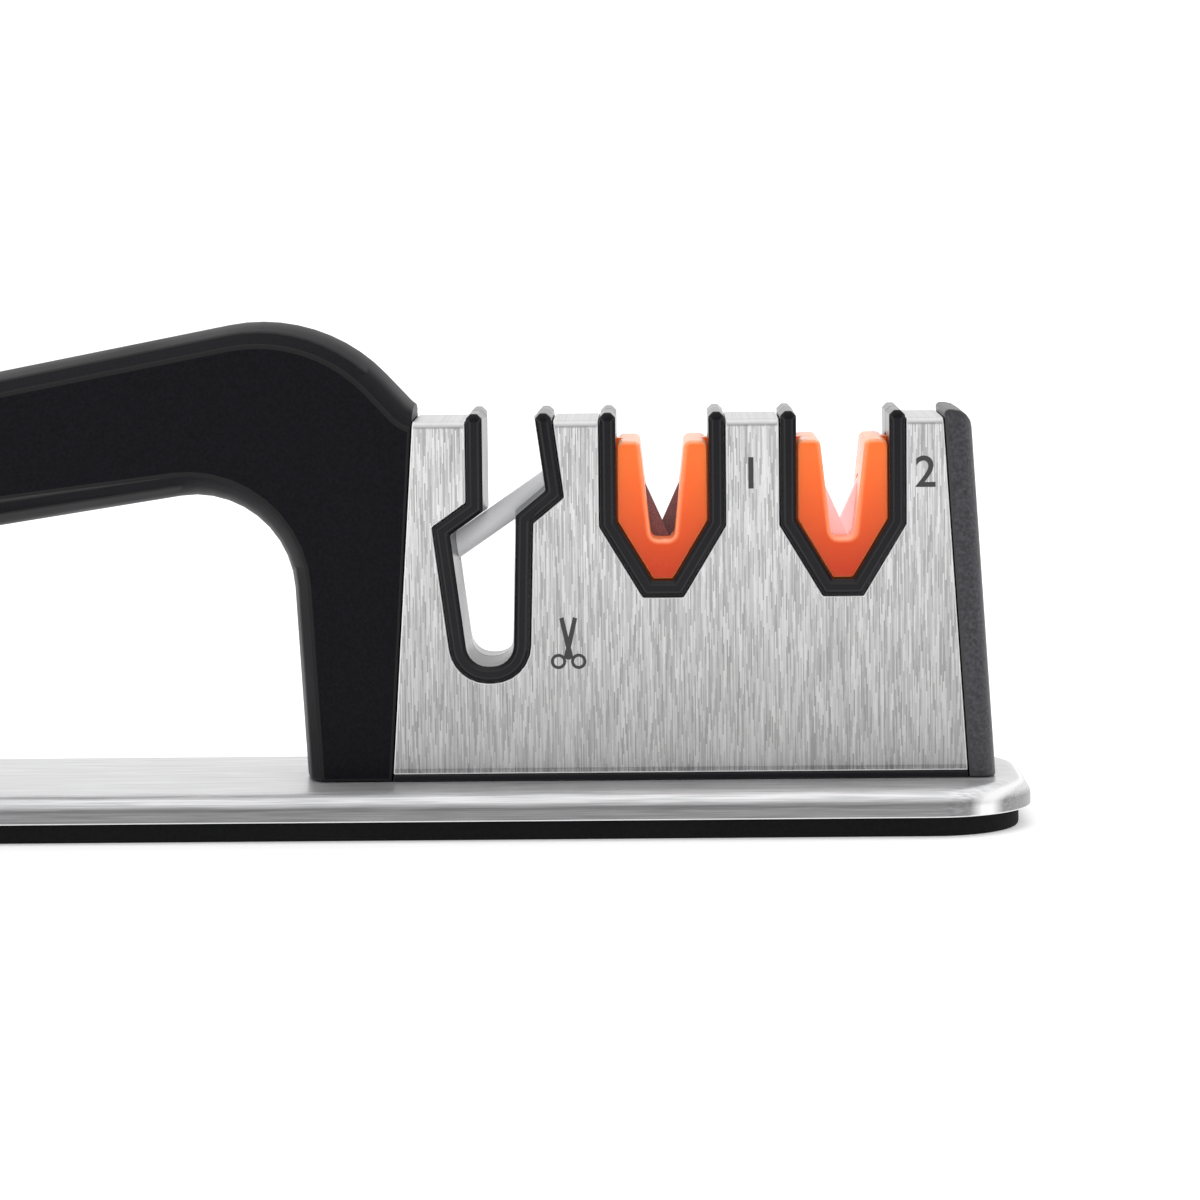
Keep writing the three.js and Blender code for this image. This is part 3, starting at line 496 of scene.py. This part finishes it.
def orange_plastic():
    """Glossy plastic that light comes through a little, with painted shade towards the foot, a
    painted highlight on its lips and painted light given off.
    """
    material, shader = new_material("orange_plastic", ORANGE, roughness=0.22, specular=0.3)
    shader.inputs["Subsurface Weight"].default_value = 0.6
    shader.inputs["Subsurface Radius"].default_value = (1.0, 0.3, 0.1)
    shader.inputs["Subsurface Scale"].default_value = 3 * MM
    # painted light given off, in the orange's own colour
    shader.inputs["Emission Color"].default_value = (*ORANGE, 1)
    shader.inputs["Emission Strength"].default_value = ORANGE_PAINTED_GLOW
    tree = material.node_tree
    cloud = even_noise(tree, ORANGE_CLOUD)
    # painted shade, deeper towards the foot
    rise = spread(tree, height_pattern(tree), 0, 1, *ORANGE_SHADE_HEIGHTS)
    clouded = added(tree, rise, cloud, ORANGE_CLOUD_SHARE)
    color = between(tree, clouded, ORANGE_SHADED, ORANGE, 0, 1)
    # painted highlight on faces that turn away from front and back
    lip_highlight = spread(tree, facing(tree, "Y"), 1, 0, *LIP_HIGHLIGHT_TURN)
    tree.links.new(blended(tree, lip_highlight, color, ORANGE_LIP_HIGHLIGHT), shader.inputs["Base Color"])
    tree.links.new(spread(tree, cloud, *ORANGE_ROUGHNESS), shader.inputs["Roughness"])
    bump(tree, shader, even_noise(tree, ORANGE_GRAIN), depth=0.004 * MM, strength=0.3)
    return material


def grit(name, dark, light, roughness, grain, depth, painted_glow=0.0):
    """Bonded abrasive: a speckle of grains, a rough face and painted light given off in place of the
    light that comes through.
    """
    material, shader = new_material(name, light, roughness)
    # painted light given off, so the abrasive looks lit through
    shader.inputs["Emission Color"].default_value = (*light, 1)
    shader.inputs["Emission Strength"].default_value = painted_glow
    tree = material.node_tree
    grains = even_noise(tree, grain, detail=4)
    tree.links.new(between(tree, grains, dark, light), shader.inputs["Base Color"])
    gloss = spread(tree, grains, roughness - UNEVEN_GRIT, roughness + UNEVEN_GRIT)
    tree.links.new(gloss, shader.inputs["Roughness"])
    bump(tree, shader, grains, depth, strength=0.6)
    return material


HEAD_STEEL = brushed_steel(
    "head_steel", hair=HAIR_SIZE, bands=(0.5, 0.02, 0.02),
    dark=grey(0.38), light=grey(0.91), reach=(0.0, 1.0), smoothest=0.3, roughest=0.42,
    # painted shade towards the foot of the head's steel
    foot_shade=(8 * MM, 54 * MM, 0.6), fold=(HEAD_TOP - 1.3 * MM, HEAD_TOP - 0.9 * MM),
)
BASE_STEEL = brushed_steel(
    "base_steel", fine=(0.08, 3, 3), bands=(0.015, 0.5, 0.5),
    dark=(0.54, 0.54, 0.55), light=(0.78, 0.78, 0.79), smoothest=0.28, roughest=0.36,
    # painted shade on the lower side of the tray's roll, and a painted highlight at its corners
    metal=0.55, foot_shade=(5.6 * MM, 6.6 * MM, 0.4), corners=CORNER_HIGHLIGHT_TURN,
)
SCREW_STEEL = brushed_steel(
    "screw_steel", fine=(1, 1, 1), bands=(0.2, 0.2, 0.2),
    dark=grey(0.4), light=grey(0.6), smoothest=0.3, roughest=0.4,
)
HANDLE_BLACK = moulded_plastic(
    "handle_black", (0.0042, 0.004, 0.0056), roughness=0.42, specular=0.07,
    grain=2.5, depth=0.02 * MM, edge=0.02, speckle=2,
)
HOUSING_BLACK = moulded_plastic(
    "housing_black", (0.0055, 0.005, 0.007), roughness=0.22, specular=0.2,
    grain=3, depth=0.003 * MM, edge=0.022,
)
CAP_BLACK = moulded_plastic(
    "cap_black", (0.005, 0.005, 0.0065), roughness=0.4, specular=0.6,
    grain=1.9, depth=0.05 * MM, edge=0.02, speckle=9,
)
PAD_RUBBER = moulded_plastic(
    "pad_rubber", (0.006, 0.006, 0.0065), roughness=0.8, specular=0.15,
    grain=1.6, depth=0.03 * MM, edge=0.01,
)
CORE_PLASTIC = moulded_plastic(
    "core_plastic", grey(0.03), roughness=0.5, specular=0.4, grain=2, depth=0.01 * MM, edge=0.03,
)
GUIDE_ORANGE = orange_plastic()
COARSE_GRIT = grit(
    "coarse_grit", (0.1, 0.07, 0.085), (0.27, 0.2, 0.235),
    roughness=0.6, grain=6, depth=0.03 * MM, painted_glow=0.06,
)
FINE_GRIT = grit(
    "fine_grit", (0.8, 0.7, 0.75), (0.88, 0.78, 0.83),
    roughness=0.45, grain=9, depth=0.01 * MM, painted_glow=0.3,
)
ROD_CERAMIC = grit(
    "rod_ceramic", (0.74, 0.74, 0.76), (0.86, 0.86, 0.88),
    roughness=0.4, grain=7, depth=0.01 * MM, painted_glow=0.2,
)
MARK_INK = grit(
    "mark_ink", (0.03, 0.03, 0.032), (0.05, 0.05, 0.052),
    roughness=0.6, grain=5, depth=0.002 * MM,
)


# Base

def rounded_slab(node, corner, steps):
    """A block the size of a node, with rounded upright corners, left in edit mode."""
    low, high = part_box(node)
    bpy.ops.object.select_all(action="DESELECT")
    bpy.ops.mesh.primitive_cube_add(size=1, location=(low + high) / 2, scale=high - low)
    bpy.ops.object.transform_apply(location=True, rotation=True, scale=True)
    piece = active()
    bpy.ops.object.mode_set(mode="EDIT")
    select_edges(piece, lambda a, b: (a.xy - b.xy).length < SAME)
    bpy.ops.mesh.bevel(offset=corner, segments=steps, affect="EDGES")
    return piece


def base_plate():
    """A tray whose round rolled edge is pressed flatter than it is wide."""
    piece = rounded_slab("base_plate", BASE_CORNER, steps=20)
    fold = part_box("base_plate")[1].z - BASE_ROLL_DROP
    select_faces(piece, lambda centre, normal: normal.z > LEVEL)
    bpy.ops.transform.translate(value=(0, 0, BASE_ROLL_WIDTH - BASE_ROLL_DROP))
    select_edges(piece, at_height(fold + BASE_ROLL_WIDTH))
    bpy.ops.mesh.bevel(offset=BASE_ROLL_WIDTH, segments=14, affect="EDGES")
    select_faces(piece, lambda centre, normal: centre.z > fold)
    flatter = BASE_ROLL_DROP / BASE_ROLL_WIDTH
    bpy.ops.transform.resize(value=(1, 1, flatter), center_override=(0, 0, fold))
    select_faces(piece, lambda centre, normal: normal.z < -LEVEL)
    bpy.ops.mesh.delete(type="FACE")
    bpy.ops.object.mode_set(mode="OBJECT")
    apply_modifier(piece, "SOLIDIFY", thickness=BASE_SHEET, offset=-1)
    bevel_edges(piece, BASE_EDGE, CUT_EDGE)
    smooth(piece, angle=40)
    finish_piece(piece, "steel_tray", BASE_STEEL, "base_plate")


def rubber_pad():
    """A slab with its foot bevelled."""
    piece = rounded_slab("rubber_pad", PAD_CORNER, steps=16)
    select_edges(piece, at_height(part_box("rubber_pad")[0].z))
    bpy.ops.mesh.bevel(offset=PAD_BEVEL, segments=3, affect="EDGES")
    bpy.ops.object.mode_set(mode="OBJECT")
    bevel_edges(piece, PAD_EDGE, CUT_EDGE)
    smooth(piece, angle=40)
    finish_piece(piece, "non_slip_pad", PAD_RUBBER, "rubber_pad")


base_plate()
rubber_pad()


# Pieces that keep the frame's own form, with softened edges

handle_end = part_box("head_cover")[0].x - HANDLE_GAP
for node in ("handle_front_shell", "handle_rear_shell"):
    softened(
        node, HANDLE_BLACK, width=0.5 * MM,
        angle=20, merge=0.15 * MM, right_end=handle_end,
    )
for node in ("head_front_shell", "head_rear_shell"):
    softened(node, HOUSING_BLACK, width=0.16 * MM, merge=0.2 * MM)
softened(
    "head_cover", HEAD_STEEL, width=0.2 * MM,
    angle=40, merge=0.12 * MM, hem=0.6 * MM,
)
softened("end_cap", CAP_BLACK, width=0.4 * MM, angle=30, merge=0.2 * MM)
softened("scissor_rod", ROD_CERAMIC, width=0.3 * MM, angle=50)
for grade, grain in (("coarse", COARSE_GRIT), ("fine", FINE_GRIT)):
    for place in ("front", "rear"):
        softened(f"{grade}_guide_{place}", GUIDE_ORANGE, smooth_angle=50)
    for place in ("left", "right"):
        softened(f"{grade}_plate_{place}", grain, width=0.15 * MM, angle=40)

for name, node in frame["nodes"].items():
    if not node.hide_render:
        node.data.materials.clear()
        node.data.materials.append(CORE_PLASTIC if name == "base_core" else SCREW_STEEL)


# Marks

def place_mark(piece, name, middle_x, middle_z, height):
    """Stands a flat mark up, sizes it and puts it on the front of the head."""
    pick(piece)
    bpy.ops.object.convert(target="MESH")
    piece.rotation_euler = (math.radians(90), 0, 0)
    bpy.ops.object.transform_apply(location=True, rotation=True, scale=True)
    corners = [vertex.co for vertex in piece.data.vertices]
    low = Vector([min(corner[i] for corner in corners) for i in range(3)])
    high = Vector([max(corner[i] for corner in corners) for i in range(3)])
    size = height / (high - low).z
    piece.scale = (size, 1, size)
    middle = (low + high) / 2 * size
    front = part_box("head_cover")[0].y - MARK_DEPTH
    piece.location = (middle_x - middle.x, front - low.y, middle_z - middle.z)
    bpy.ops.object.transform_apply(location=True, rotation=True, scale=True)
    smooth(piece, angle=30)
    finish_piece(piece, name, MARK_INK)


def number(digit, name, mark):
    """A plain number in the built-in font."""
    bpy.ops.object.select_all(action="DESELECT")
    bpy.ops.object.text_add()
    piece = active()
    piece.data.body = digit
    piece.data.size = NUMBER_HEIGHT
    piece.data.extrude = MARK_DEPTH / 2
    piece.data.offset = NUMBER_BOLDNESS
    place_mark(piece, name, *mark)


def scissors_half(side):
    """One blade with its shank and ring, drawn flat, as two separate pieces."""
    bpy.ops.object.select_all(action="DESELECT")
    bpy.ops.mesh.primitive_plane_add(size=1)
    blade = active()
    bpy.ops.object.mode_set(mode="EDIT")
    length = BLADE_REACH + SHANK_REACH
    bpy.ops.transform.resize(value=(BLADE_WIDTH, length, 1), center_override=(0, 0, 0))
    bpy.ops.transform.translate(value=(0, (BLADE_REACH - SHANK_REACH) / 2, 0))
    select_edges(blade, lambda a, b: min(a.y, b.y) > 0)
    tip = (-side * BLADE_WIDTH / 2, BLADE_REACH, 0)
    bpy.ops.transform.resize(value=(BLADE_TIP, 1, 1), center_override=tip)
    select_edges(blade, lambda a, b: max(a.y, b.y) < 0)
    heel = (side * BLADE_WIDTH / 2, -SHANK_REACH, 0)
    bpy.ops.transform.resize(value=(SHANK_END, 1, 1), center_override=heel)
    bpy.ops.mesh.select_all(action="SELECT")
    bpy.ops.transform.rotate(
        value=math.radians(side * BLADE_TURN), orient_axis="Z", center_override=(0, 0, 0),
    )
    bpy.ops.object.mode_set(mode="OBJECT")
    bpy.ops.object.select_all(action="DESELECT")
    bpy.ops.mesh.primitive_circle_add(vertices=40, radius=RING_RADIUS)
    ring = active()
    bpy.ops.object.mode_set(mode="EDIT")
    bpy.ops.mesh.select_all(action="SELECT")
    bpy.ops.mesh.extrude_edges_move()
    bpy.ops.transform.resize(value=(RING_HOLE, RING_HOLE, 1), center_override=(0, 0, 0))
    bpy.ops.mesh.select_all(action="SELECT")
    bpy.ops.transform.translate(value=(side * RING_PLACE[0], RING_PLACE[1], 0))
    bpy.ops.object.mode_set(mode="OBJECT")
    return [blade, ring]


def scissors():
    """A plain pair of open scissors, joined into one flat figure."""
    pieces = scissors_half(-1) + scissors_half(1)
    bpy.ops.object.select_all(action="DESELECT")
    for piece in pieces:
        piece.select_set(True)
    bpy.context.view_layer.objects.active = pieces[0]
    bpy.ops.object.join()
    figure = active()
    apply_modifier(figure, "SOLIDIFY", thickness=MARK_DEPTH, offset=0)
    bpy.ops.object.mode_set(mode="EDIT")
    bpy.ops.mesh.select_all(action="SELECT")
    bpy.ops.mesh.normals_make_consistent(inside=False)
    bpy.ops.mesh.intersect_boolean(operation="UNION", use_self=True, solver="EXACT")
    bpy.ops.object.mode_set(mode="OBJECT")
    place_mark(figure, "scissors_mark", *SCISSORS_MARK)


number("1", "coarse_mark", COARSE_MARK)
number("2", "fine_mark", FINE_MARK)
scissors()


# Studio

def camera():
    """A camera turned so that lines going back meet where they do in the photograph."""
    right = DEPTH_VANISHES[0] - IMAGE_CENTRE
    up = IMAGE_CENTRE - DEPTH_VANISHES[1]
    back = Vector((right, up, -FOCAL_PIXELS)).normalized()
    toward = (right + up * RISE_TO_RIGHT) / FOCAL_PIXELS
    across = Vector((1, RISE_TO_RIGHT, toward)).normalized()
    turn = Matrix((across, back, across.cross(back)))
    data = bpy.data.cameras.new("camera")
    data.sensor_width = SENSOR
    data.lens = SENSOR * FOCAL_PIXELS / IMAGE_WIDTH
    data.clip_start, data.clip_end = CAMERA_RANGE
    stand = bpy.data.objects.new("camera", data)
    bpy.context.scene.collection.objects.link(stand)
    stand.matrix_world = Matrix.Translation(CAMERA_PLACE) @ turn.to_4x4()
    bpy.context.scene.camera = stand


def floor():
    """A white sheet that glows a little, so that it stays white under the object."""
    bpy.ops.object.select_all(action="DESELECT")
    bpy.ops.mesh.primitive_plane_add(size=FLOOR_SIZE, location=(0, 0, 0))
    ground = active()
    ground.name = "floor"
    material, shader = new_material("floor_white", grey(0.97), roughness=0.8, specular=0.1)
    tree = material.node_tree
    cloud = even_noise(tree, FLOOR_CLOUD)
    tree.links.new(spread(tree, cloud, *FLOOR_ROUGHNESS), shader.inputs["Roughness"])
    shader.inputs["Emission Color"].default_value = (1, 1, 1, 1)
    shader.inputs["Emission Strength"].default_value = FLOOR_GLOW
    ground.data.materials.append(material)


def top_light():
    """A wide soft light overhead."""
    data = bpy.data.lights.new("top_light", "AREA")
    data.shape = "RECTANGLE"
    data.size, data.size_y = TOP_LIGHT_SIZE
    data.energy = TOP_LIGHT_POWER
    lamp = bpy.data.objects.new("top_light", data)
    bpy.context.scene.collection.objects.link(lamp)
    lamp.location = TOP_LIGHT_PLACE
    aim = Vector(TOP_LIGHT_AIM) - Vector(TOP_LIGHT_PLACE)
    lamp.rotation_euler = aim.to_track_quat("-Z", "Y").to_euler()


def sky():
    """White all round, fading to the dimmer room."""
    world = bpy.data.worlds.new("studio")
    bpy.context.scene.world = world
    world.use_nodes = True
    tree = world.node_tree
    background = tree.nodes["Background"]
    place = tree.nodes.new("ShaderNodeTexCoord")
    toward_room = tree.nodes.new("ShaderNodeVectorMath")
    toward_room.operation = "DOT_PRODUCT"
    toward_room.inputs[1].default_value = ROOM_SIDE
    tree.links.new(place.outputs["Generated"], toward_room.inputs[0])
    dimmed = between(tree, toward_room.outputs["Value"], grey(1), grey(ROOM_LIGHT), *ROOM_EDGE)
    tree.links.new(dimmed, background.inputs["Color"])
    background.inputs["Strength"].default_value = SKY_LIGHT


camera()
floor()
top_light()
sky()
bpy.context.scene.view_settings.view_transform = "Standard"
